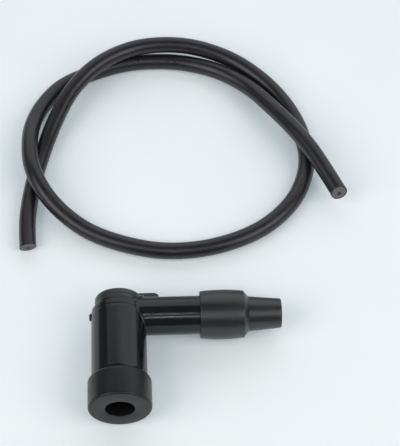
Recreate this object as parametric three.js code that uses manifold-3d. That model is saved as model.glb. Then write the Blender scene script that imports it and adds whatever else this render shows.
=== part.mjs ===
// Spark plug wire: a 7 mm ignition cable lying in a loose loop, and its elbow plug cap taken off beside it.
// Millimetres, +Z up. The origin is on the surface that both lie on, under the middle of the whole lead.
import * as THREE from 'three';
import { mergeVertices } from 'three/addons/utils/BufferGeometryUtils.js';
import Module from 'manifold-3d';

const wasm = await Module();
wasm.setup();

// Clearances
const gap = 0.3; // between pieces that seat on each other
const cutLength = 60; // length of the tools that cut bores and ends, longer than any piece they cut
const cutOverlap = 1; // how far one cutting tool runs into the next

// Roundness of turned pieces
const outerFacets = 40;
const innerFacets = 20;
const wireFacets = 6;
const profileSteps = 6; // along the curved parts of a profile
const cornerSteps = 4; // along a rounded corner

// Cable
const cableDiameter = 7;
const jacketWall = 0.7;
const conductorDiameter = 1.8;
const cableSteps = 66;
const jacketFacets = 10;
const insulationFacets = 8;
const conductorFacets = 6;
const farCutTilt = 17; // degrees, the raised end is cut slanting and faces up
const farCutTurn = -10; // degrees, counter-clockwise seen from above
const nearCutTilt = -11; // degrees, the end on the surface is cut slightly under
const nearCutTurn = 9;
const cableRoute = [
  [66.4, 8.8, 9],
  [61, 19.5, 10],
  [54, 32.5, 10.8],
  [46.5, 44, 10.4],
  [38, 56, 8.6],
  [28.2, 68.3, 6.4],
  [14.8, 78.4, 4.6],
  [0.5, 83.5, 3.6],
  [-13, 84.5, 3.55],
  [-26, 83, 3.55],
  [-41, 77.5, 3.6],
  [-53, 70, 4.1],
  [-60.5, 59, 5.6],
  [-64.5, 46.5, 7.8],
  [-65, 34, 10],
  [-63, 21.5, 11.1],
  [-58, 11, 9.6],
  [-50, 2, 6.8],
  [-38.5, -6, 4.4],
  [-21.5, -12.5, 3.7],
  [-4, -15, 3.5],
  [16, -12, 3.5],
  [34.5, -3, 3.5],
  [47.5, 11.5, 3.5],
  [53, 29, 3.5],
  [51, 45.5, 3.6],
  [44.5, 60.5, 4],
  [34, 73.5, 5.2],
  [21, 83, 6.8],
  [5.5, 88.5, 8.4],
  [-9, 89, 9.8],
  [-23.5, 85.5, 10.8],
  [-37.5, 76.5, 11.2],
  [-48, 64, 9.8],
  [-54.5, 50.5, 7.2],
  [-59.5, 35.5, 4.4],
  [-63, 18.5, 3.7],
  [-64.5, 1, 3.5],
  [-63.5, -14.5, 3.5],
];

// Cap: where the axes of its two arms cross, and how it is turned on the surface
const elbowX = -24.8;
const elbowY = -50.5;
const capTurn = 2.4; // degrees

// Plug arm, stations along its axis from the elbow to the mouth
const barrelDiameter = 21.8;
const barrelTaperStart = 0;
const barrelBack = -2.2;
const barrelBackDiameter = 21.5;
const barrelBackRound = 0.3;
const collarDiameter = 18.7;
const collarLength = 2.1;
const neckStart = 28.8;
const neckLength = 6.8;
const neckDiameter = 18.4;
const neckRibDiameter = 19.8;
const neckRibLength = 1.5;
const plugBore = 12.8;
const plugBoreDepth = 26;
const contactBore = 5.8;

// Cable arm, stations along its axis from the elbow to the nozzle
const armDiameter = 15.4;
const armLength = 41.5;
const armRibDiameter = 16.8;
const armRibStart = 36;
const armRibLength = 1.5;
const resistorBore = 6.8;
const screwSeat = 19.9;
const cableBore = 7.8;
const pinBore = 2.6;
const pinCounterbore = 3.7;
const pinCounterboreDepth = 1.4;

// Rib behind the cable arm
const ribStart = 6;
const ribEnd = 16.2;
const ribReach = 10.5;
const ribThickness = 1.6;
const ribEndRadius = 2;

// Plug seal
const sealDiameter = 24.8;
const sealLength = 12.7;
const sealBore = 11.4;
const sealMouthRound = 0.9;
const sealBackRound = 1.3;
const sealBoreChamfer = 0.2;

// Cable boot
const bootStart = 32.2;
const bootGripLength = 17.4;
const bootEndDiameter = 18.8;
const bootDiameter = 19.8;
const bootShoulderLength = 1.9;
const nozzleLength = 13.1;
const nozzleBaseDiameter = 14;
const nozzleTipDiameter = 11.8;
const nozzleBore = 6.8;
const nozzleChamfer = 0.5;

// Closing plug and gasket
const gasketThickness = 0.7;
const closingHeadThickness = 2.2;
const closingHeadRound = 0.3;
const closingShankDiameter = 5.2;
const closingShankLength = 1.2;

// Side pin
const pinHeadDiameter = 3.1;
const pinHeadFlatDiameter = 2.1;
const pinHeadReach = 0.75;
const pinLength = 5.5;

// Plug contact and its clip
const contactShankDiameter = 5.2;
const contactFlangeDiameter = 10.4;
const contactFlangeThickness = 1.5;
const socketDiameter = 9;
const socketBore = 6.6;
const socketDepth = 9;
const socketFloor = 1.5;
const socketSlot = 0.8;
const clipWire = 0.9;
const clipGrooveDepth = 0.5;
const clipFromMouth = 3;
const clipOpening = 50; // degrees

// Resistor, its end caps and spring
const resistorDiameter = 4.4;
const resistorLength = 10.4;
const endCapDiameter = 6.1;
const endCapLength = 2.6;
const endCapFloor = 0.4;
const springWire = 0.7;
const springDiameter = 4.8;
const springTurns = 3;
const springStepsPerTurn = 14;

// Cable screw
const screwBossDiameter = 4.8;
const screwFlangeDiameter = 7.2;
const screwFlangeThickness = 1.2;
const screwThreadDiameter = 3;
const screwBossLength = 1.3;
const screwThreadLength = 11;
const screwPitch = 1.8;
const screwThreadHeight = 0.45;
const screwTipShare = 0.25; // of the thread's root diameter, left at the last turn
const screwTipHeightShare = 0.5; // of the thread's height, left at the last turn
const threadRootShare = 0.3; // of the pitch, up to where a turn rises
const threadCrestShare = 0.65; // of the pitch, up to the turn's crest

const blackRubber = new THREE.MeshStandardMaterial({ color: 0x2b2b2c, roughness: 0.75, metalness: 0 });
const jacketRubber = new THREE.MeshStandardMaterial({ color: 0x232325, roughness: 0.45, metalness: 0 });
const greyInsulation = new THREE.MeshStandardMaterial({ color: 0x77706f, roughness: 0.8, metalness: 0 });
const coreFibre = new THREE.MeshStandardMaterial({ color: 0x2c2226, roughness: 0.9, metalness: 0 });
const blackResin = new THREE.MeshStandardMaterial({ color: 0x1e1e20, roughness: 0.25, metalness: 0 });
const brass = new THREE.MeshStandardMaterial({ color: 0xb0904a, roughness: 0.35, metalness: 1 });
const springSteel = new THREE.MeshStandardMaterial({ color: 0x9a9c9e, roughness: 0.3, metalness: 1 });
const whiteCeramic = new THREE.MeshStandardMaterial({ color: 0xd8d4c8, roughness: 0.5, metalness: 0 });

const group = new THREE.Group();

// Geometry to solid and back, so that pieces can be joined and cut

function toSolid(geometry) {
  const bare = geometry.clone();
  bare.deleteAttribute('normal');
  bare.deleteAttribute('uv');
  const merged = mergeVertices(bare, 1e-4);
  const index = merged.index.array;
  const triangles = [];
  for (let i = 0; i < index.length; i += 3) {
    const [a, b, c] = [index[i], index[i + 1], index[i + 2]];
    if (a !== b && b !== c && c !== a) triangles.push(a, b, c);
  }
  const vertProperties = new Float32Array(merged.attributes.position.array);
  return new wasm.Manifold(new wasm.Mesh({ numProp: 3, vertProperties, triVerts: new Uint32Array(triangles) }));
}

function toGeometry(solid) {
  const mesh = solid.getMesh();
  const geometry = new THREE.BufferGeometry();
  geometry.setAttribute('position', new THREE.BufferAttribute(mesh.vertProperties, 3));
  geometry.setIndex(new THREE.BufferAttribute(mesh.triVerts, 1));
  geometry.computeVertexNormals();
  return geometry;
}

function cutFrom(body, ...tools) {
  let solid = toSolid(body);
  for (const tool of tools) solid = solid.subtract(toSolid(tool));
  return toGeometry(solid);
}

function joined(...bodies) {
  let solid = toSolid(bodies[0]);
  for (const body of bodies.slice(1)) solid = solid.add(toSolid(body));
  return toGeometry(solid);
}

// Turned pieces: a profile of [diameter, station] pairs, spun round the plug arm's or the cable arm's axis

function turned(profile, facets) {
  const points = profile.map(([diameter, station]) => new THREE.Vector2(diameter / 2, station));
  if (THREE.ShapeUtils.area(points) < 0) points.reverse();
  const onAxis = points.filter((point) => point.x === 0).length;
  if (onAxis > 0) {
    while (points[0].x !== 0 || points[points.length - 1].x !== 0) points.push(points.shift());
  } else {
    points.push(points[0].clone());
  }
  return new THREE.LatheGeometry(points, facets);
}

function onPlugArm(profile, facets = outerFacets) {
  return turned(profile, facets).rotateZ(Math.PI);
}

function onCableArm(profile, facets = outerFacets) {
  return turned(profile, facets).rotateZ(-Math.PI / 2);
}

function arc(centreDiameter, centreStation, radius, fromDegrees, toDegrees) {
  const points = [];
  for (let i = 0; i <= cornerSteps; i += 1) {
    const angle = THREE.MathUtils.degToRad(fromDegrees + ((toDegrees - fromDegrees) * i) / cornerSteps);
    const out = 2 * radius * Math.cos(angle);
    points.push([centreDiameter + out, centreStation + radius * Math.sin(angle)]);
  }
  return points;
}

function rod(diameter, from, to) {
  return [[0, from], [diameter, from], [diameter, to], [0, to]];
}

function addPiece(parent, name, geometry, material) {
  const mesh = new THREE.Mesh(geometry, material.clone());
  mesh.name = name;
  parent.add(mesh);
  return mesh;
}

// Cable: three layers swept along one route, both ends cut

const route = new THREE.CatmullRomCurve3(cableRoute.map((point) => new THREE.Vector3(...point)));

function ring(diameter, facets) {
  const points = [];
  for (let i = 0; i < facets; i += 1) {
    const angle = (2 * Math.PI * i) / facets;
    points.push(new THREE.Vector2((diameter / 2) * Math.cos(angle), (diameter / 2) * Math.sin(angle)));
  }
  return points;
}

function endCut(at, outward, tiltDegrees, turnDegrees) {
  const tilt = THREE.MathUtils.degToRad(tiltDegrees);
  const turn = THREE.MathUtils.degToRad(turnDegrees);
  const up = new THREE.Vector3(0, 0, 1);
  const level = up.clone().cross(outward).normalize();
  const facing = outward.clone().applyAxisAngle(level, -tilt).applyAxisAngle(up, turn);
  const setBack = (cableDiameter / 2) * (Math.abs(Math.tan(tilt)) + Math.abs(Math.tan(turn)));
  const face = at.clone().addScaledVector(outward, -setBack);
  const block = new THREE.BoxGeometry(cutLength / 2, cutLength / 2, cutLength / 2);
  block.translate(0, 0, cutLength / 4);
  block.applyQuaternion(new THREE.Quaternion().setFromUnitVectors(new THREE.Vector3(0, 0, 1), facing));
  return block.translate(face.x, face.y, face.z);
}

const farCut = endCut(route.getPoint(0), route.getTangent(0).negate(), farCutTilt, farCutTurn);
const nearCut = endCut(route.getPoint(1), route.getTangent(1), nearCutTilt, nearCutTurn);

function cableLayer(diameter, bore, facets) {
  const section = new THREE.Shape(ring(diameter, facets));
  if (bore > 0) section.holes.push(new THREE.Path(ring(bore, facets)));
  const swept = new THREE.ExtrudeGeometry(section, { steps: cableSteps, bevelEnabled: false, extrudePath: route });
  return cutFrom(swept, farCut, nearCut);
}

const jacketBore = cableDiameter - 2 * jacketWall;
const insulationDiameter = jacketBore - 2 * gap;
const insulationBore = conductorDiameter + 2 * gap;

addPiece(group, 'cable_jacket', cableLayer(cableDiameter, jacketBore, jacketFacets), jacketRubber);
addPiece(
  group,
  'cable_insulation',
  cableLayer(insulationDiameter, insulationBore, insulationFacets),
  greyInsulation,
);
addPiece(group, 'cable_conductor', cableLayer(conductorDiameter, 0, conductorFacets), coreFibre);

// Cap group: it rests on the seal's back edge, the rear of the barrel's full width and the boot's crown,
// so it is tilted

const mouth = neckStart + gap + sealLength;
const sealContact = neckStart + gap + sealBackRound;
const barrelContact = barrelTaperStart;
const bootContact = bootStart + bootGripLength / 2;
const plugArmRise = Math.atan((sealDiameter - barrelDiameter) / 2 / (sealContact - barrelContact));
const elbowHeight = (barrelDiameter / 2) * Math.cos(plugArmRise) - barrelContact * Math.sin(plugArmRise);
const bootReach = Math.hypot(bootContact, bootDiameter / 2);
const cableArmFall = Math.asin(elbowHeight / bootReach) - Math.atan2(bootDiameter / 2, bootContact);

const cap = new THREE.Group();
cap.position.set(elbowX, elbowY, elbowHeight);
cap.rotation.set(-plugArmRise, cableArmFall, THREE.MathUtils.degToRad(capTurn), 'ZYX');
group.add(cap);

// Housing: barrel, collar behind it and cable arm moulded as one, bored along both axes

const collarBack = barrelBack - collarLength;
const neckEnd = neckStart + neckLength;
const neckRibStart = neckStart + neckLength / 2;
const plugBoreFloor = neckEnd - plugBoreDepth;

function housingBarrel() {
  const backCorner = barrelBackDiameter - 2 * barrelBackRound;
  return onPlugArm([
    [0, collarBack],
    [collarDiameter, collarBack],
    [collarDiameter, barrelBack],
    ...arc(backCorner, barrelBack + barrelBackRound, barrelBackRound, -90, 0),
    [barrelDiameter, barrelTaperStart],
    [barrelDiameter, neckStart],
    [neckDiameter, neckStart],
    [neckDiameter, neckRibStart],
    [neckRibDiameter, neckRibStart],
    [neckRibDiameter, neckRibStart + neckRibLength],
    [neckDiameter, neckRibStart + neckRibLength],
    [neckDiameter, neckEnd],
    [0, neckEnd],
  ]);
}

function housingArm() {
  return onCableArm([
    [0, 0],
    [armDiameter, 0],
    [armDiameter, armRibStart],
    [armRibDiameter, armRibStart],
    [armRibDiameter, armRibStart + armRibLength],
    [armDiameter, armRibStart + armRibLength],
    [armDiameter, armLength],
    [0, armLength],
  ]);
}

function housingRib() {
  const outline = new THREE.Shape();
  outline.moveTo(ribStart, 0);
  outline.lineTo(ribEnd, 0);
  outline.lineTo(ribEnd, ribReach - ribEndRadius);
  outline.absarc(ribEnd - ribEndRadius, ribReach - ribEndRadius, ribEndRadius, 0, Math.PI / 2);
  outline.lineTo(ribStart, ribReach);
  const plate = new THREE.ExtrudeGeometry(outline, {
    depth: ribThickness,
    bevelEnabled: false,
    curveSegments: cornerSteps,
  });
  return plate.translate(0, 0, -ribThickness / 2);
}

const pinFlat = barrelDiameter / 2 - pinCounterboreDepth;

function housing() {
  const body = joined(housingBarrel(), housingArm(), housingRib());
  const plugCut = onPlugArm(rod(plugBore, plugBoreFloor, cutLength), innerFacets);
  const contactCut = onPlugArm(rod(contactBore, -cutLength, plugBoreFloor + cutOverlap), innerFacets);
  const resistorCut = onCableArm(rod(resistorBore, 0, screwSeat + cutOverlap), innerFacets);
  const cableCut = onCableArm(rod(cableBore, screwSeat, cutLength), innerFacets);
  const pinCut = onCableArm(rod(pinBore, -cutLength, 0), innerFacets);
  const counterboreCut = onCableArm(rod(pinCounterbore, -cutLength, -pinFlat), innerFacets);
  const headSeatCut = onPlugArm(rod(collarDiameter + 2 * gap, -cutLength, collarBack));
  return cutFrom(body, plugCut, contactCut, resistorCut, cableCut, pinCut, counterboreCut, headSeatCut);
}

addPiece(cap, 'cap_housing', housing(), blackResin);

// Plug seal: pushed over the housing's neck, its inner groove holding on the neck's rib

function sealProfile() {
  const back = neckStart + gap;
  const outerCorner = sealDiameter - 2 * sealMouthRound;
  const backCorner = sealDiameter - 2 * sealBackRound;
  const floor = neckEnd + gap;
  const grip = neckDiameter + 2 * gap;
  const groove = neckRibDiameter + 2 * gap;
  return [
    [grip, back],
    ...arc(backCorner, back + sealBackRound, sealBackRound, -90, 0),
    ...arc(outerCorner, mouth - sealMouthRound, sealMouthRound, 0, 90),
    [sealBore + 2 * sealBoreChamfer, mouth],
    [sealBore, mouth - sealBoreChamfer],
    [sealBore, floor],
    [grip, floor],
    [grip, neckRibStart + neckRibLength + gap],
    [groove, neckRibStart + neckRibLength + gap],
    [groove, neckRibStart - gap],
    [grip, neckRibStart - gap],
  ];
}

addPiece(cap, 'plug_seal', onPlugArm(sealProfile()), blackRubber);

// Cable boot: pushed over the arm's end, crowned grip, shoulder and tapered nozzle

function bootProfile() {
  const gripEnd = bootStart + bootGripLength;
  const nozzleStart = gripEnd + bootShoulderLength;
  const nozzleEnd = nozzleStart + nozzleLength;
  const floor = armLength + gap;
  const grip = armDiameter + 2 * gap;
  const groove = armRibDiameter + 2 * gap;
  const crown = [];
  for (let i = 0; i <= profileSteps; i += 1) {
    const along = i / profileSteps;
    const swell = 1 - (2 * along - 1) ** 2;
    crown.push([bootEndDiameter + (bootDiameter - bootEndDiameter) * swell, bootStart + bootGripLength * along]);
  }
  return [
    [grip, bootStart],
    ...crown,
    [nozzleBaseDiameter, nozzleStart],
    [nozzleTipDiameter, nozzleEnd - nozzleChamfer],
    [nozzleTipDiameter - 2 * nozzleChamfer, nozzleEnd],
    [nozzleBore, nozzleEnd],
    [nozzleBore, floor],
    [grip, floor],
    [grip, armRibStart + armRibLength + gap],
    [groove, armRibStart + armRibLength + gap],
    [groove, armRibStart - gap],
    [grip, armRibStart - gap],
  ];
}

addPiece(cap, 'cable_boot', onCableArm(bootProfile()), blackRubber);

// Closing plug and its gasket, at the barrel's rear end

const gasketFront = collarBack - gap;
const gasketBack = gasketFront - gasketThickness;
const closingHeadFront = gasketBack - gap;
const closingHeadBack = closingHeadFront - closingHeadThickness;

addPiece(
  cap,
  'closing_gasket',
  onPlugArm([
    [contactBore + 2 * gap, gasketFront],
    [collarDiameter - 2 * gap, gasketFront],
    [collarDiameter - 2 * gap, gasketBack],
    [contactBore + 2 * gap, gasketBack],
  ]),
  blackRubber,
);

addPiece(
  cap,
  'closing_plug',
  onPlugArm([
    [0, closingHeadBack],
    ...arc(collarDiameter - 2 * closingHeadRound, closingHeadBack + closingHeadRound, closingHeadRound, -90, 0),
    [collarDiameter, closingHeadFront],
    [closingShankDiameter, closingHeadFront],
    [closingShankDiameter, collarBack + closingShankLength],
    [0, collarBack + closingShankLength],
  ]),
  blackResin,
);

// Side pin: closes the bore on the far side of the barrel, behind the resistor

const pinHeadSeat = -pinFlat - gap;
const pinHeadEnd = -barrelDiameter / 2 - pinHeadReach;

addPiece(
  cap,
  'side_pin',
  onCableArm(
    [
      [0, pinHeadEnd],
      [pinHeadFlatDiameter, pinHeadEnd],
      [pinHeadDiameter, pinHeadEnd + pinHeadReach / 2],
      [pinHeadDiameter, pinHeadSeat],
      [pinBore - 2 * gap, pinHeadSeat],
      [pinBore - 2 * gap, pinHeadSeat + pinLength],
      [0, pinHeadSeat + pinLength],
    ],
    innerFacets,
  ),
  blackResin,
);

// Plug contact: a brass rod through the elbow with a slotted socket for the plug's terminal, and its clip

const contactBack = collarBack + closingShankLength + gap;
const flangeSeat = plugBoreFloor + gap;
const socketBase = flangeSeat + contactFlangeThickness;
const socketMouth = socketBase + socketFloor + socketDepth;
const clipAt = socketMouth - clipFromMouth;
const clipGroove = socketDiameter - 2 * clipGrooveDepth;

function plugContact() {
  const grooveHalf = clipWire / 2 + gap;
  const body = onPlugArm(
    [
      [0, contactBack],
      [contactShankDiameter, contactBack],
      [contactShankDiameter, flangeSeat],
      [contactFlangeDiameter, flangeSeat],
      [contactFlangeDiameter, socketBase],
      [socketDiameter, socketBase],
      [socketDiameter, clipAt - grooveHalf],
      [clipGroove, clipAt - grooveHalf],
      [clipGroove, clipAt + grooveHalf],
      [socketDiameter, clipAt + grooveHalf],
      [socketDiameter, socketMouth],
      [socketBore, socketMouth],
      [socketBore, socketBase + socketFloor],
      [0, socketBase + socketFloor],
    ],
    innerFacets,
  );
  const slotCentre = socketBase + socketFloor + cutLength / 2;
  const slot = new THREE.BoxGeometry(socketSlot, cutLength, cutLength).translate(0, -slotCentre, 0);
  const crossSlot = new THREE.BoxGeometry(cutLength, cutLength, socketSlot).translate(0, -slotCentre, 0);
  return cutFrom(body, slot, crossSlot);
}

addPiece(cap, 'plug_contact', plugContact(), brass);

class ClipCurve extends THREE.Curve {
  getPoint(t, target = new THREE.Vector3()) {
    const radius = clipGroove / 2 + gap + clipWire / 2;
    const open = THREE.MathUtils.degToRad(clipOpening);
    const angle = open / 2 + (2 * Math.PI - open) * t;
    return target.set(radius * Math.sin(angle), -clipAt, radius * Math.cos(angle));
  }
}

function wire(path, diameter, steps) {
  const section = new THREE.Shape(ring(diameter, wireFacets));
  return new THREE.ExtrudeGeometry(section, { steps, bevelEnabled: false, extrudePath: path });
}

addPiece(cap, 'contact_clip', wire(new ClipCurve(), clipWire, innerFacets), springSteel);

// Resistor line in the cable arm: spring, ceramic rod between two pressed caps, and the cable screw

const springStart = contactShankDiameter / 2 + gap + springWire / 2;
const screwFlangeSeat = screwSeat + gap;
const rearCapEnd = screwFlangeSeat - screwBossLength - gap;
const rodEnd = rearCapEnd - endCapFloor - gap;
const rodStart = rodEnd - resistorLength;
const frontCapEnd = rodStart - gap - endCapFloor;
const springEnd = frontCapEnd - gap - springWire / 2;

addPiece(cap, 'resistor', onCableArm(rod(resistorDiameter, rodStart, rodEnd), innerFacets), whiteCeramic);

function endCap(floorEnd, direction) {
  const inside = floorEnd + direction * endCapFloor;
  const rim = floorEnd + direction * endCapLength;
  return onCableArm(
    [
      [0, floorEnd],
      [endCapDiameter, floorEnd],
      [endCapDiameter, rim],
      [resistorDiameter + 2 * gap, rim],
      [resistorDiameter + 2 * gap, inside],
      [0, inside],
    ],
    innerFacets,
  );
}

addPiece(cap, 'resistor_cap_front', endCap(frontCapEnd, 1), springSteel);
addPiece(cap, 'resistor_cap_rear', endCap(rearCapEnd, -1), springSteel);

class SpringCurve extends THREE.Curve {
  getPoint(t, target = new THREE.Vector3()) {
    const radius = (springDiameter - springWire) / 2;
    const angle = 2 * Math.PI * springTurns * t;
    const station = springStart + (springEnd - springStart) * t;
    return target.set(station, radius * Math.cos(angle), radius * Math.sin(angle));
  }
}

addPiece(
  cap,
  'resistor_spring',
  wire(new SpringCurve(), springWire, springTurns * springStepsPerTurn),
  springSteel,
);

function cableScrew() {
  const threadStart = screwFlangeSeat + screwFlangeThickness;
  const turns = Math.floor(screwThreadLength / screwPitch);
  const thread = [];
  for (let i = 0; i < turns; i += 1) {
    const root = screwThreadDiameter * (1 - ((1 - screwTipShare) * i) / turns);
    const height = screwThreadHeight * (1 - ((1 - screwTipHeightShare) * i) / turns);
    const station = threadStart + i * screwPitch;
    thread.push([root, station + screwPitch * threadRootShare]);
    thread.push([root + 2 * height, station + screwPitch * threadCrestShare]);
    thread.push([root, station + screwPitch]);
  }
  return onCableArm(
    [
      [0, screwFlangeSeat - screwBossLength],
      [screwBossDiameter, screwFlangeSeat - screwBossLength],
      [screwBossDiameter, screwFlangeSeat],
      [screwFlangeDiameter, screwFlangeSeat],
      [screwFlangeDiameter, threadStart],
      [screwThreadDiameter, threadStart],
      ...thread,
      [0, threadStart + screwThreadLength],
    ],
    innerFacets,
  );
}

addPiece(cap, 'cable_screw', cableScrew(), brass);

export default group;
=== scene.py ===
"""Spark plug wire: a 7 mm ignition cable in a loose loop, with its elbow plug cap taken off beside it.

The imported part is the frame. Metres, +Z up, the origin on the table under the middle of the whole lead.
"""
import math

import bmesh
import bpy
from mathutils import Euler, Matrix, Vector
from mathutils.geometry import interpolate_bezier


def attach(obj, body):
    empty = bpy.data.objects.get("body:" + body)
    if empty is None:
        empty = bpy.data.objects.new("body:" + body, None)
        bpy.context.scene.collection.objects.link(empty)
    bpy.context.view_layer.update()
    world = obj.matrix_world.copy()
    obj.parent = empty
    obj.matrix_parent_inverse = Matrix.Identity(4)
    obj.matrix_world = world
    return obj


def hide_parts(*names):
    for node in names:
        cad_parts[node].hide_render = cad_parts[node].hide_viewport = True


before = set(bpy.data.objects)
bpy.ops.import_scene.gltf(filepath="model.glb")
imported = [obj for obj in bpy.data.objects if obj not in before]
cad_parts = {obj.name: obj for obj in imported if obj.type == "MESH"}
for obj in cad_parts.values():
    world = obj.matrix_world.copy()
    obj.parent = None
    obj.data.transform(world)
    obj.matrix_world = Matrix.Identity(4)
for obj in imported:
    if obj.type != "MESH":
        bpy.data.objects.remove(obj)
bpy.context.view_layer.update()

# Camera
# The lead lies on a table and is seen from in front and well above, through a long lens.
camera_place = Vector((0.0075, -0.36935, 0.5703))
camera_aim = Vector((0.0075, 0.001, 0))
camera_lens = 130.8

bpy.ops.object.select_all(action="DESELECT")
bpy.ops.object.camera_add(
    location=camera_place,
    rotation=(camera_aim - camera_place).to_track_quat("-Z", "Y").to_euler(),
)
camera = bpy.context.object
camera.data.lens = camera_lens
bpy.context.scene.camera = camera

# Cable
# Ignition cable: a fibre core, silicone insulation in two layers with a glass braid between them, and an
# extruded black sheath. It is stiff and keeps a loose loop that crosses itself. Both ends are cut off bare.
cable_radius = 0.0035
sheath_wall = 0.00065
outer_insulation_bore = 0.0021
braid_bore = 0.0019
core_radius = 0.0009
core_slack = 0.00002
braid_set_back = 0.00015
core_set_back = 0.0003
core_sag = Vector((0, 0, -0.0008))
far_cut = (math.radians(17), math.radians(-10))
near_cut = (math.radians(-11), math.radians(9))
cut_reach = 0.012
cut_edge_angle = math.radians(35)
path_points_per_span = 8
cable_route = [
    Vector((0.0664, 0.0088, 0.009)),
    Vector((0.061, 0.0195, 0.01)),
    Vector((0.054, 0.0325, 0.0108)),
    Vector((0.0465, 0.044, 0.0104)),
    Vector((0.038, 0.056, 0.0086)),
    Vector((0.0282, 0.0683, 0.0064)),
    Vector((0.0148, 0.0784, 0.0046)),
    Vector((0.0005, 0.0835, 0.0036)),
    Vector((-0.013, 0.0845, 0.00355)),
    Vector((-0.026, 0.083, 0.00355)),
    Vector((-0.041, 0.0775, 0.0036)),
    Vector((-0.053, 0.07, 0.0041)),
    Vector((-0.0605, 0.059, 0.0056)),
    Vector((-0.0645, 0.0465, 0.0078)),
    Vector((-0.065, 0.034, 0.01)),
    Vector((-0.063, 0.0215, 0.0111)),
    Vector((-0.058, 0.011, 0.0096)),
    Vector((-0.05, 0.002, 0.0068)),
    Vector((-0.0385, -0.006, 0.0044)),
    Vector((-0.0215, -0.0125, 0.0037)),
    Vector((-0.004, -0.015, 0.0035)),
    Vector((0.016, -0.012, 0.0035)),
    Vector((0.0345, -0.003, 0.0035)),
    Vector((0.0475, 0.0115, 0.0035)),
    Vector((0.053, 0.029, 0.0035)),
    Vector((0.051, 0.0455, 0.0036)),
    Vector((0.0445, 0.0605, 0.004)),
    Vector((0.034, 0.0735, 0.0052)),
    Vector((0.021, 0.083, 0.0068)),
    Vector((0.0055, 0.0885, 0.0084)),
    Vector((-0.009, 0.089, 0.0098)),
    Vector((-0.0235, 0.0855, 0.0108)),
    Vector((-0.0375, 0.0765, 0.0112)),
    Vector((-0.048, 0.064, 0.0098)),
    Vector((-0.0545, 0.0505, 0.0072)),
    Vector((-0.0595, 0.0355, 0.0044)),
    Vector((-0.063, 0.0185, 0.0037)),
    Vector((-0.0645, 0.001, 0.0035)),
    Vector((-0.0635, -0.0145, 0.0035)),
]


def cable_line(name, radius, spans, sides, shift=Vector(), capped=False):
    """A round tube along the route, through handles that make a centripetal Catmull-Rom curve of it."""
    data = bpy.data.curves.new(name, "CURVE")
    data.dimensions = "3D"
    data.resolution_u = spans
    data.bevel_depth = radius
    data.bevel_resolution = sides // 2 - 2
    data.use_fill_caps = capped
    spline = data.splines.new("BEZIER")
    spline.bezier_points.add(len(cable_route) - 1)
    route = [point + shift for point in cable_route]
    guides = [2 * route[0] - route[1], *route, 2 * route[-1] - route[-2]]
    for place, knot in enumerate(spline.bezier_points):
        before, here, after = guides[place:place + 3]
        step_in = math.sqrt((here - before).length)
        step_out = math.sqrt((after - here).length)
        slope = (here - before) / step_in + (after - here) / step_out
        slope -= (after - before) / (step_in + step_out)
        knot.handle_left_type = knot.handle_right_type = "FREE"
        knot.co = here
        knot.handle_left = here - slope * step_in / 3
        knot.handle_right = here + slope * step_out / 3
    piece = bpy.data.objects.new(name, data)
    bpy.context.scene.collection.objects.link(piece)
    return piece


def cut_plane(end, outward, tilt, turn):
    """The place and direction of a cut face, tilted about a level line across the cable, then turned."""
    level = Vector((0, 0, 1)).cross(outward).normalized()
    facing = Matrix.Rotation(turn, 3, "Z") @ Matrix.Rotation(-tilt, 3, level) @ outward
    set_back = cable_radius * (abs(math.tan(tilt)) + abs(math.tan(turn)))
    return end - outward * set_back, facing


cut_planes = [
    cut_plane(cable_route[0], (cable_route[0] - cable_route[1]).normalized(), *far_cut),
    cut_plane(cable_route[-1], (cable_route[-1] - cable_route[-2]).normalized(), *near_cut),
]


def only(piece):
    """Selects one object and makes it the active one."""
    bpy.ops.object.select_all(action="DESELECT")
    piece.select_set(True)
    bpy.context.view_layer.objects.active = piece


def apply_modifiers(piece):
    only(piece)
    for modifier in list(piece.modifiers):
        bpy.ops.object.modifier_apply(modifier=modifier.name)


def combine(body, tool, operation):
    only(body)
    change = body.modifiers.new(operation.lower(), "BOOLEAN")
    change.operation = operation
    change.solver = "EXACT"
    change.object = tool
    bpy.ops.object.modifier_apply(modifier=change.name)
    bpy.data.objects.remove(tool)


def smooth(piece, angle):
    """Smooths every edge that is blunter than the angle."""
    only(piece)
    bpy.ops.object.shade_smooth_by_angle(angle=angle)


def cable_layer(name, inner, outer, set_back, spans, sides, shift=Vector()):
    """One layer of the cable, from its inner to its outer radius, cut off at both ends."""
    piece = cable_line(name, outer, spans, sides, shift)
    only(piece)
    bpy.ops.object.convert(target="MESH")
    piece = bpy.context.object
    if inner > 0:
        shell = piece.modifiers.new("shell", "SOLIDIFY")
        shell.thickness = outer - inner
        shell.offset = -1
        shell.use_rim = False
        apply_modifiers(piece)
    for place, facing in cut_planes:
        only(piece)
        bpy.ops.object.mode_set(mode="EDIT")
        bpy.ops.mesh.select_all(action="DESELECT")
        mesh = bmesh.from_edit_mesh(piece.data)
        for face in mesh.faces:
            face.select_set((face.calc_center_median() - place).length < cut_reach)
        bmesh.update_edit_mesh(piece.data)
        bpy.ops.mesh.bisect(
            plane_co=place - facing * set_back,
            plane_no=facing,
            clear_outer=True,
            use_fill=inner == 0,
        )
        if inner > 0:
            bpy.ops.mesh.bridge_edge_loops()
        bpy.ops.object.mode_set(mode="OBJECT")
    smooth(piece, cut_edge_angle)
    return piece


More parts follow.
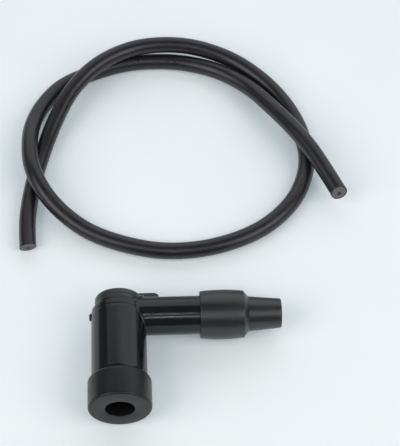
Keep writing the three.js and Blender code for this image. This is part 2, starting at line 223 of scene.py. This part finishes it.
sheath_bore = cable_radius - sheath_wall
sheath = cable_layer("sheath", sheath_bore, cable_radius, 0, spans=12, sides=36)
outer_insulation = cable_layer("outer_insulation", outer_insulation_bore, sheath_bore, 0, spans=6, sides=24)
glass_braid = cable_layer(
    "glass_braid", braid_bore, outer_insulation_bore, braid_set_back, spans=6, sides=24
)
inner_insulation = cable_layer("inner_insulation", 0, braid_bore, 0, spans=6, sides=24)
core_bore = cable_line("core_bore", core_radius, spans=6, sides=16, shift=core_sag, capped=True)
only(core_bore)
bpy.ops.object.convert(target="MESH")
combine(inner_insulation, bpy.context.object, "DIFFERENCE")
smooth(inner_insulation, cut_edge_angle)
fibre_core = cable_layer(
    "fibre_core", 0, core_radius - core_slack, core_set_back, spans=6, sides=16, shift=core_sag
)


def cable_path():
    """The route as closely spaced points."""
    line = cable_line("cable_path", cable_radius, spans=1, sides=8)
    knots = line.data.splines[0].bezier_points
    points = []
    for start, end in zip(knots, knots[1:]):
        handles = (start.co, start.handle_right, end.handle_left, end.co)
        points += interpolate_bezier(*handles, path_points_per_span + 1)[:-1]
    points.append(knots[-1].co.copy())
    bpy.data.objects.remove(line)
    return points


def new_material(name):
    material = bpy.data.materials.new(name)
    material.use_nodes = True
    return material, material.node_tree, material.node_tree.nodes["Principled BSDF"]


def link(tree, source, target):
    tree.links.new(source, target)


noise_low = 0.3  # most noise values lie between these two
noise_high = 0.7


def grain_group():
    """Fine mould grain and slow blotches: a bump normal, and a value for the roughness."""
    group = bpy.data.node_groups.new("grain", "ShaderNodeTree")
    for name in ("Grain Scale", "Depth", "Blotch Scale", "Low", "High"):
        group.interface.new_socket(name, in_out="INPUT", socket_type="NodeSocketFloat")
    group.interface.new_socket("Normal", in_out="OUTPUT", socket_type="NodeSocketVector")
    group.interface.new_socket("Roughness", in_out="OUTPUT", socket_type="NodeSocketFloat")
    nodes = group.nodes
    given = nodes.new("NodeGroupInput")
    result = nodes.new("NodeGroupOutput")
    place = nodes.new("ShaderNodeTexCoord")
    fine = nodes.new("ShaderNodeTexNoise")
    fine.inputs["Detail"].default_value = 4
    link(group, place.outputs["Object"], fine.inputs["Vector"])
    link(group, given.outputs["Grain Scale"], fine.inputs["Scale"])
    bump = nodes.new("ShaderNodeBump")
    bump.inputs["Strength"].default_value = 1
    link(group, given.outputs["Depth"], bump.inputs["Distance"])
    link(group, fine.outputs["Fac"], bump.inputs["Height"])
    link(group, bump.outputs["Normal"], result.inputs["Normal"])
    blotch = nodes.new("ShaderNodeTexNoise")
    blotch.inputs["Detail"].default_value = 5
    link(group, place.outputs["Object"], blotch.inputs["Vector"])
    link(group, given.outputs["Blotch Scale"], blotch.inputs["Scale"])
    spread = nodes.new("ShaderNodeMapRange")
    spread.inputs["From Min"].default_value = noise_low
    spread.inputs["From Max"].default_value = noise_high
    link(group, blotch.outputs["Fac"], spread.inputs["Value"])
    link(group, given.outputs["Low"], spread.inputs["To Min"])
    link(group, given.outputs["High"], spread.inputs["To Max"])
    link(group, spread.outputs["Result"], result.inputs["Roughness"])
    return group


grain = grain_group()


def add_grain(tree, shader, grain_scale, depth, blotch_scale, low, high):
    node = tree.nodes.new("ShaderNodeGroup")
    node.node_tree = grain
    node.inputs["Grain Scale"].default_value = grain_scale
    node.inputs["Depth"].default_value = depth
    node.inputs["Blotch Scale"].default_value = blotch_scale
    node.inputs["Low"].default_value = low
    node.inputs["High"].default_value = high
    link(tree, node.outputs["Normal"], shader.inputs["Normal"])
    link(tree, node.outputs["Roughness"], shader.inputs["Roughness"])


def blotchy_colour(tree, shader, dark, light, scale):
    """A base colour that wanders between two close tones."""
    place = tree.nodes.new("ShaderNodeTexCoord")
    noise = tree.nodes.new("ShaderNodeTexNoise")
    noise.inputs["Scale"].default_value = scale
    noise.inputs["Detail"].default_value = 6
    ramp = tree.nodes.new("ShaderNodeValToRGB")
    for stop, position, colour in zip(ramp.color_ramp.elements, (noise_low, noise_high), (dark, light)):
        stop.position = position
        stop.color = (*colour, 1)
    link(tree, place.outputs["Object"], noise.inputs["Vector"])
    link(tree, noise.outputs["Fac"], ramp.inputs["Fac"])
    link(tree, ramp.outputs["Color"], shader.inputs["Base Color"])


def sheath_rubber():
    material, tree, shader = new_material("sheath_rubber")
    blotchy_colour(tree, shader, (0.0118, 0.0102, 0.0138), (0.0168, 0.0148, 0.0192), scale=220)
    add_grain(tree, shader, grain_scale=5000, depth=0.000008, blotch_scale=180, low=0.25, high=0.35)
    return material


def cut_silicone(name, dark, light):
    material, tree, shader = new_material(name)
    blotchy_colour(tree, shader, dark, light, scale=1400)
    add_grain(tree, shader, grain_scale=3500, depth=0.00006, blotch_scale=900, low=0.6, high=0.85)
    return material


def wear(piece, material):
    """Gives a piece one material."""
    piece.data.materials.clear()
    piece.data.materials.append(material)


wear(sheath, sheath_rubber())
wear(outer_insulation, cut_silicone("outer_silicone", (0.13, 0.13, 0.135), (0.2, 0.2, 0.205)))
wear(glass_braid, cut_silicone("glass_fibre", (0.05, 0.046, 0.052), (0.08, 0.075, 0.08)))
wear(inner_insulation, cut_silicone("inner_silicone", (0.12, 0.11, 0.105), (0.17, 0.155, 0.15)))
wear(fibre_core, cut_silicone("core_fibre", (0.02, 0.01, 0.016), (0.05, 0.028, 0.04)))

for piece, slot, node in (
    (sheath, "cable_sheath", "cable_jacket"),
    (outer_insulation, "cable_insulation", "cable_insulation"),
    (glass_braid, "cable_insulation", "cable_insulation"),
    (inner_insulation, "cable_insulation", "cable_insulation"),
    (fibre_core, "cable_core", "cable_conductor"),
):
    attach(piece, "root")
    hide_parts(node)

cable_path()

# Cap housing
# An elbow moulded in glossy black resin: a barrel for the plug and an arm for the cable, with a rib behind
# the arm. It lies on the seal's back edge, the rear end of the barrel's full width and the boot's crown, so
# it tilts a little.
elbow = Vector((-0.0248, -0.0505, 0))
cap_turn = math.radians(2.4)
barrel_radius = 0.0109
barrel_taper_start = 0
barrel_back = -0.0022
barrel_back_radius = 0.01075
barrel_back_round = 0.0003
groove_depth = 0.00007
groove_width = 0.0005
collar_radius = 0.00935
collar_back = -0.0043
neck_start = 0.0288
neck_end = 0.0356
neck_radius = 0.0092
plug_bore_radius = 0.0064
plug_bore_floor = 0.0096
contact_bore_radius = 0.0029
arm_radius = 0.0077
arm_start = 0.004
arm_end = 0.0415
arm_foot_round = 0.0006
arm_foot_sink = 0.00004
arm_straight_start = barrel_radius + 0.002
resistor_bore_radius = 0.0034
screw_seat = 0.0199
cable_bore_radius = 0.0039
pin_bore_radius = 0.0013
pin_counterbore_radius = 0.00185
pin_counterbore_depth = 0.0014
pin_flat = barrel_radius - pin_counterbore_depth
bore_overlap = 0.001
bore_rear = -0.02  # the rods that cut the bores reach from here, behind the cap
bore_front = 0.06  # to here, in front of both arms' ends
rib_start = 0.006
rib_end = 0.0162
rib_reach = 0.0105
rib_thickness = 0.0016
rib_end_round = 0.002
edge_round = 0.0002
edge_angle = math.radians(30)
same_place = 1e-6
seal_radius = 0.0124
seal_start = 0.0291
seal_end = 0.0418
seal_back_round = 0.0013
boot_start = 0.0322
boot_grip_end = 0.0496
boot_crown_radius = 0.0099

seal_contact = seal_start + seal_back_round
plug_arm_rise = math.atan((seal_radius - barrel_radius) / (seal_contact - barrel_taper_start))
elbow.z = barrel_radius * math.cos(plug_arm_rise) - barrel_taper_start * math.sin(plug_arm_rise)
boot_contact = (boot_start + boot_grip_end) / 2
boot_slope = math.atan2(boot_crown_radius, boot_contact)
cable_arm_fall = math.asin(elbow.z / math.hypot(boot_contact, boot_crown_radius)) - boot_slope
cap_tilt = Euler((-plug_arm_rise, cable_arm_fall, cap_turn), "XYZ")
cap_seat = Matrix.Translation(elbow) @ cap_tilt.to_matrix().to_4x4()
level_plug_arm = Matrix.Rotation(math.radians(90), 4, "X")
level_cable_arm = Matrix.Rotation(math.radians(90), 4, "Y")
plug_arm = cap_seat @ level_plug_arm
cable_arm = cap_seat @ level_cable_arm


def turned(name, rings, sides):
    """A piece turned round Z: a circle extruded through (radius, height) rings. It closes on its first ring
    where the last one repeats it, and otherwise both its ends are flat."""
    radius, height = rings[0]
    bpy.ops.object.select_all(action="DESELECT")
    bpy.ops.mesh.primitive_circle_add(vertices=sides, radius=radius)
    piece = bpy.context.object
    piece.name = name
    piece.data.name = name
    bpy.ops.object.mode_set(mode="EDIT")
    bpy.ops.mesh.select_all(action="SELECT")
    bpy.ops.transform.translate(value=(0, 0, height))
    for next_radius, next_height in rings[1:]:
        bpy.ops.mesh.extrude_edges_move(TRANSFORM_OT_translate={"value": (0, 0, next_height - height)})
        share = next_radius / radius
        bpy.ops.transform.resize(value=(share, share, 1), center_override=(0, 0, next_height))
        radius, height = next_radius, next_height
    bpy.ops.mesh.select_all(action="SELECT")
    bpy.ops.mesh.remove_doubles(threshold=same_place)
    bpy.ops.mesh.fill_holes(sides=0)
    bpy.ops.mesh.select_all(action="SELECT")
    bpy.ops.mesh.normals_make_consistent(inside=False)
    bpy.ops.object.mode_set(mode="OBJECT")
    return piece


def rounded(corner_radius, corner_height, round_radius, start, end, steps=5):
    """Rings round a corner centred on that radius and height, from one angle in degrees to another."""
    rings = []
    for step in range(steps + 1):
        angle = math.radians(start + (end - start) * step / steps)
        out = corner_radius + round_radius * math.cos(angle)
        rings.append((out, corner_height + round_radius * math.sin(angle)))
    return rings


def wall(start, end, spacing):
    """Rings along a straight wall from one (radius, height) to another, so that its faces stay short."""
    count = max(1, round(abs(end[1] - start[1]) / spacing))
    rings = []
    for step in range(count + 1):
        share = step / count
        rings.append((start[0] + (end[0] - start[0]) * share, start[1] + (end[1] - start[1]) * share))
    return rings


def lay_in(piece, place):
    """Moves a finished piece to its place in the cap and leaves its object at the origin."""
    only(piece)
    piece.matrix_world = place
    bpy.ops.object.transform_apply(location=True, rotation=True, scale=True)


def finish_edges(piece, width):
    """Rounds every sharp edge and smooths the rest."""
    only(piece)
    bevel = piece.modifiers.new("edges", "BEVEL")
    bevel.width = width
    bevel.segments = 3
    bevel.limit_method = "ANGLE"
    bevel.angle_limit = edge_angle
    bevel.harden_normals = False
    bpy.ops.object.modifier_apply(modifier=bevel.name)
    smooth(piece, edge_angle)


def barrel():
    """The collar, the barrel with a shallow groove where its full width starts, and the seal's neck."""
    corner_radius = barrel_back_radius - barrel_back_round
    corner_height = barrel_back + barrel_back_round
    groove_end = barrel_taper_start + groove_width
    rings = wall((collar_radius, collar_back), (collar_radius, barrel_back), spacing=0.0007)
    rings += rounded(corner_radius, corner_height, barrel_back_round, -90, 0)
    taper = wall((barrel_back_radius, corner_height), (barrel_radius, barrel_taper_start), spacing=0.0005)
    rings += taper[1:]
    rings.append((barrel_radius - groove_depth, barrel_taper_start + groove_width / 2))
    rings += wall((barrel_radius, groove_end), (barrel_radius, neck_start), spacing=0.0012)
    rings += [(neck_radius, neck_start), (neck_radius, neck_end)]
    return turned("housing", rings, sides=128)


def arm():
    """The cable arm, its foot flared in a round and bent to the barrel's curve, a bend that soon fades."""
    flare_radius = arm_radius + arm_foot_round
    flare_end = barrel_radius + arm_foot_round
    rings = [(flare_radius, arm_start)]
    for radius, height in rounded(flare_radius, arm_foot_round, arm_foot_round, -90, -180, steps=6):
        rings.append((radius, barrel_radius + height - arm_foot_sink))
    rings += wall((arm_radius, arm_straight_start), (arm_radius, arm_end), spacing=0.0012)
    piece = turned("arm", rings, sides=128)
    fade_length = 0.01
    for vertex in piece.data.vertices:
        along = vertex.co.z
        if along > arm_start + same_place:
            curve = math.sqrt(barrel_radius ** 2 - vertex.co.x ** 2) - barrel_radius
            fade = max(0.0, 1 - max(0.0, along - flare_end) / fade_length)
            vertex.co.z += curve * fade
    return piece


def rib():
    bpy.ops.object.select_all(action="DESELECT")
    bpy.ops.mesh.primitive_cube_add(
        size=1,
        location=((rib_start + rib_end) / 2, rib_reach / 2, 0),
        scale=(rib_end - rib_start, rib_reach, rib_thickness),
    )
    piece = bpy.context.object
    bpy.ops.object.transform_apply(location=True, rotation=True, scale=True)
    bpy.ops.object.mode_set(mode="EDIT")
    bpy.ops.mesh.select_all(action="DESELECT")
    mesh = bmesh.from_edit_mesh(piece.data)
    for edge in mesh.edges:
        middle = (edge.verts[0].co + edge.verts[1].co) / 2
        if middle.x > rib_end - same_place and middle.y > rib_reach - same_place:
            edge.select_set(True)
    bmesh.update_edit_mesh(piece.data)
    bpy.ops.mesh.bevel(offset=rib_end_round, segments=8, affect="EDGES")
    bpy.ops.object.mode_set(mode="OBJECT")
    return piece


housing = barrel()
lay_in(housing, level_plug_arm)
arm_piece = arm()
lay_in(arm_piece, level_cable_arm)
combine(housing, arm_piece, "UNION")
combine(housing, rib(), "UNION")
for name, turn, radius, start, end in (
    ("plug_bore", level_plug_arm, plug_bore_radius, plug_bore_floor, bore_front),
    ("contact_bore", level_plug_arm, contact_bore_radius, bore_rear, plug_bore_floor + bore_overlap),
    ("resistor_bore", level_cable_arm, resistor_bore_radius, 0, screw_seat + bore_overlap),
    ("cable_bore", level_cable_arm, cable_bore_radius, screw_seat, bore_front),
    ("pin_bore", level_cable_arm, pin_bore_radius, bore_rear, 0),
    ("pin_counterbore", level_cable_arm, pin_counterbore_radius, bore_rear, -pin_flat),
):
    bore = turned(name, [(radius, start), (radius, end)], sides=64)
    lay_in(bore, turn)
    combine(housing, bore, "DIFFERENCE")
finish_edges(housing, edge_round)
lay_in(housing, cap_seat)


def moulded_resin():
    material, tree, shader = new_material("moulded_resin")
    blotchy_colour(tree, shader, (0.0022, 0.002, 0.0022), (0.0038, 0.0034, 0.0038), scale=300)
    add_grain(tree, shader, grain_scale=700, depth=0.00001, blotch_scale=400, low=0.14, high=0.22)
    return material


resin = moulded_resin()
wear(housing, resin)
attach(housing, "root")
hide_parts("cap_housing")

# Plug seal
# A thick moulded rubber ring, pushed over the barrel's neck. It closes on the plug's insulator and keeps
# water out. Its mouth is flat and its edges are round.
seal_bore_radius = 0.0057
seal_mouth_round = 0.0009
seal_bore_chamfer = 0.0002
seal_grip_radius = 0.0095
seal_side_start = seal_start + 0.002
seal_side_end = seal_end - 0.0015
seal_edge_round = 0.00015
fit_gap = 0.0003


def plug_seal():
    back_corner = (seal_radius - seal_back_round, seal_start + seal_back_round)
    mouth_corner = (seal_radius - seal_mouth_round, seal_end - seal_mouth_round)
    rings = [(seal_grip_radius, seal_start)]
    rings += rounded(*back_corner, seal_back_round, -90, 0, steps=8)
    rings += wall((seal_radius, seal_side_start), (seal_radius, seal_side_end), spacing=0.0015)
    rings += rounded(*mouth_corner, seal_mouth_round, 0, 90, steps=8)
    rings += [
        (seal_bore_radius + seal_bore_chamfer, seal_end),
        (seal_bore_radius, seal_end - seal_bore_chamfer),
        (seal_bore_radius, neck_end + fit_gap),
        (seal_grip_radius, neck_end + fit_gap),
        (seal_grip_radius, seal_start),
    ]
    return turned("seal", rings, sides=128)


seal = plug_seal()
finish_edges(seal, seal_edge_round)
lay_in(seal, plug_arm)


def moulded_rubber(name, sheen):
    material, tree, shader = new_material(name)
    blotchy_colour(tree, shader, (0.0055, 0.0054, 0.0058), (0.0095, 0.0093, 0.0099), scale=260)
    add_grain(tree, shader, grain_scale=3000, depth=0.00003, blotch_scale=200, low=0.28, high=0.38)
    shader.inputs["Specular IOR Level"].default_value = sheen
    return material


wear(seal, moulded_rubber("seal_rubber", sheen=0.38))
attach(seal, "root")
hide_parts("plug_seal")

# Cable boot
# A moulded rubber boot, pushed over the arm's end. Its crowned grip holds on the arm, and past a shoulder a
# tapered nozzle closes round the cable.
boot_end_radius = 0.0094
boot_edge_round = 0.0004
boot_shoulder_end = 0.0515
nozzle_end = 0.0646
nozzle_tip_round = 0.0005
nozzle_base_radius = 0.007
nozzle_tip_radius = 0.0059
nozzle_bore_radius = 0.0034
boot_grip_radius = 0.008
boot_crown_steps = 14


def cable_boot():
    """The boot's outline: its grip swells to the crown in the middle, then come the shoulder and nozzle."""
    rings = [(boot_grip_radius, boot_start)]
    edge = boot_end_radius - boot_edge_round
    rings += rounded(edge, boot_start + boot_edge_round, boot_edge_round, -90, 0)
    for step in range(1, boot_crown_steps):
        along = step / boot_crown_steps
        swell = 1 - (2 * along - 1) ** 2
        radius = boot_end_radius + (boot_crown_radius - boot_end_radius) * swell
        rings.append((radius, boot_start + (boot_grip_end - boot_start) * along))
    rings += rounded(edge, boot_grip_end - boot_edge_round / 2, boot_edge_round, 0, 40)
    shoulder_top = rings[-1]
    shoulder_foot = (nozzle_base_radius, boot_shoulder_end)
    tip = nozzle_end - nozzle_tip_round
    rings += wall(shoulder_top, shoulder_foot, spacing=0.0005)[1:]
    rings += wall(shoulder_foot, (nozzle_tip_radius, tip), spacing=0.0015)[1:-1]
    rings += rounded(nozzle_tip_radius - nozzle_tip_round, tip, nozzle_tip_round, 0, 90)
    rings += [
        (nozzle_bore_radius, nozzle_end),
        (nozzle_bore_radius, arm_end + fit_gap),
        (boot_grip_radius, arm_end + fit_gap),
        (boot_grip_radius, boot_start),
    ]
    return turned("boot", rings, sides=128)


boot = cable_boot()
smooth(boot, edge_angle)
lay_in(boot, cable_arm)
wear(boot, moulded_rubber("boot_rubber", sheen=0.75))
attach(boot, "root")
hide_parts("cable_boot")

# Closing plug, gasket and side pin
# The barrel's rear end is closed by a flat-headed plug on a thin rubber gasket, and the hole behind the
# resistor by a small pin. All are pressed in.
closing_gap = 0.0001
closing_edge_round = 0.0001
gasket_thickness = 0.0011
gasket_radius = 0.00925
gasket_hole_radius = 0.0032
head_thickness = 0.0022
head_round = 0.0003
head_side_length = 0.0017
head_shank_radius = 0.0026
head_shank_depth = 0.0012
pin_head_reach = 0.00075
pin_head_radius = 0.00155
pin_flat_radius = 0.00105
pin_shank_radius = 0.001
pin_length = 0.0055
pin_edge_round = 0.00012

gasket_front = collar_back - closing_gap
gasket_back = gasket_front - gasket_thickness
head_front = gasket_back - closing_gap
head_back = head_front - head_thickness
pin_head_end = -barrel_radius - pin_head_reach
pin_shank_start = -pin_flat - fit_gap

gasket_ring = [
    (gasket_hole_radius, gasket_front),
    (gasket_radius, gasket_front),
    (gasket_radius, gasket_back),
    (gasket_hole_radius, gasket_back),
    (gasket_hole_radius, gasket_front),
]
gasket = turned("gasket", gasket_ring, sides=96)
finish_edges(gasket, closing_edge_round)
lay_in(gasket, plug_arm)
wear(gasket, moulded_rubber("gasket_rubber", sheen=0.9))


def satin_resin_painted_light():
    """The closing plug's resin, rougher than the housing's, with its base colour painted lighter to stand
    in for the light on the head.
    """
    material, tree, shader = new_material("satin_resin_painted_light")
    # Painted light: a base colour many times lighter than the housing resin's, to make the head look lit.
    blotchy_colour(tree, shader, (0.03, 0.0297, 0.0308), (0.039, 0.0386, 0.0402), scale=300)
    add_grain(tree, shader, grain_scale=2500, depth=0.00002, blotch_scale=400, low=0.28, high=0.38)
    return material


head_rings = rounded(collar_radius - head_round, head_back + head_round, head_round, -90, 0, steps=6)
head_side_start = (collar_radius, head_front - head_side_length)
head_rings += wall(head_side_start, (collar_radius, head_front), spacing=0.0004)
head_rings += [(head_shank_radius, head_front), (head_shank_radius, collar_back + head_shank_depth)]
closing_plug = turned("closing_head", head_rings, sides=96)
finish_edges(closing_plug, closing_edge_round)
lay_in(closing_plug, plug_arm)
wear(closing_plug, satin_resin_painted_light())

pin_rings = [
    (pin_flat_radius, pin_head_end),
    (pin_head_radius, pin_head_end + pin_head_reach / 2),
    (pin_head_radius, pin_shank_start),
    (pin_shank_radius, pin_shank_start),
    (pin_shank_radius, pin_shank_start + pin_length),
]
side_pin = turned("pin", pin_rings, sides=48)
finish_edges(side_pin, pin_edge_round)
lay_in(side_pin, cable_arm)
wear(side_pin, resin)

for piece, slot, node in (
    (gasket, "black_rubber", "closing_gasket"),
    (closing_plug, "black_resin", "closing_plug"),
    (side_pin, "black_resin", "side_pin"),
):
    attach(piece, "root")
    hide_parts(node)

# Fittings inside the cap
# A turned brass contact with a sprung socket, a ceramic resistor between two plated caps, a spring that
# presses them together, and the brass screw that the cable is turned on to.
tarnish = 0.8
tarnish_roughness = 0.15


def metal(name, colour, roughness, scale):
    """A metal that is darker and rougher where it is tarnished."""
    material, tree, shader = new_material(name)
    blotchy_colour(tree, shader, [value * tarnish for value in colour], colour, scale)
    tarnished = roughness + tarnish_roughness
    add_grain(
        tree, shader, grain_scale=6000, depth=0.000004, blotch_scale=scale, low=roughness, high=tarnished
    )
    shader.inputs["Metallic"].default_value = 1
    return material


def fired_ceramic():
    material, tree, shader = new_material("fired_ceramic")
    blotchy_colour(tree, shader, (0.62, 0.59, 0.52), (0.74, 0.71, 0.64), scale=900)
    add_grain(tree, shader, grain_scale=5000, depth=0.00001, blotch_scale=700, low=0.4, high=0.55)
    return material


turned_brass = metal("turned_brass", (0.62, 0.46, 0.2), roughness=0.25, scale=800)
spring_wire = metal("spring_wire", (0.55, 0.55, 0.56), roughness=0.22, scale=900)
nickel = metal("nickel", (0.66, 0.65, 0.62), roughness=0.2, scale=900)
for node, material in (
    ("plug_contact", turned_brass),
    ("cable_screw", turned_brass),
    ("contact_clip", spring_wire),
    ("resistor_spring", spring_wire),
    ("resistor_cap_front", nickel),
    ("resistor_cap_rear", nickel),
    ("resistor", fired_ceramic()),
):
    wear(bpy.data.objects[node], material)

# Table and light
# A pale acrylic table top, which glows a little as painted fill light that lightens the shadows on it,
# stands in front of a lit white wall and between two soft boxes. Two slim lamps hang above the camera and
# draw the bright lines along the cap's arm.
table_size = 3
table_middle = (0, 0.4, -0.00002)
cool_white = (0.95, 0.97, 1)
warm_white = (1, 0.95, 0.92)
lamp_white = (1, 1, 1)
room_colour = (0.8, 0.93, 1, 1)
room_brightness = 0.2

bpy.ops.object.select_all(action="DESELECT")
bpy.ops.mesh.primitive_plane_add(size=table_size, location=table_middle)
table = bpy.context.object
table.name = "table"


def table_acrylic():
    """Pale acrylic with a faint cool glow: painted fill light, which keeps the shadows on it light."""
    material, tree, shader = new_material("table_acrylic")
    blotchy_colour(tree, shader, (0.86, 0.875, 0.88), (0.89, 0.902, 0.907), scale=14)
    shader.inputs["Roughness"].default_value = 0.6
    # Painted fill light: the table glows though no lamp lights it.
    shader.inputs["Emission Color"].default_value = (0.62, 0.92, 1, 1)
    shader.inputs["Emission Strength"].default_value = 0.15
    return material


wear(table, table_acrylic())

for name, direction, distance, width, height, power, colour in (
    ("wall", (0.16, 0.85, 0.62), 1.5, 3.5, 1.5, 9.6, cool_white),
    ("wall_middle", (0.3, 0.85, 0.6), 1.45, 2.4, 1.4, 3.6, cool_white),
    ("left_box", (-0.72, -0.42, 0.72), 1.2, 0.9, 0.9, 6.1, warm_white),
    ("right_box", (0.72, -0.42, 0.72), 1.2, 0.9, 0.9, 5.6, warm_white),
    ("lamp_high", (0, -0.36, 0.93), 1.3, 0.3, 0.02, 0.45, lamp_white),
    ("lamp_low", (0, -0.63, 0.78), 1.3, 0.3, 0.02, 0.75, lamp_white),
):
    place = Vector(direction).normalized() * distance
    facing = (-place).to_track_quat("-Z", "Y").to_euler()
    bpy.ops.object.select_all(action="DESELECT")
    bpy.ops.object.light_add(type="AREA", location=place, rotation=facing)
    light = bpy.context.object
    light.name = name
    light.data.shape = "RECTANGLE"
    light.data.size = width
    light.data.size_y = height
    light.data.energy = power
    light.data.color = colour

world = bpy.data.worlds.new("room")
bpy.context.scene.world = world
world.use_nodes = True
world.node_tree.nodes["Background"].inputs["Color"].default_value = room_colour
world.node_tree.nodes["Background"].inputs["Strength"].default_value = room_brightness
bpy.context.scene.view_settings.view_transform = "Standard"
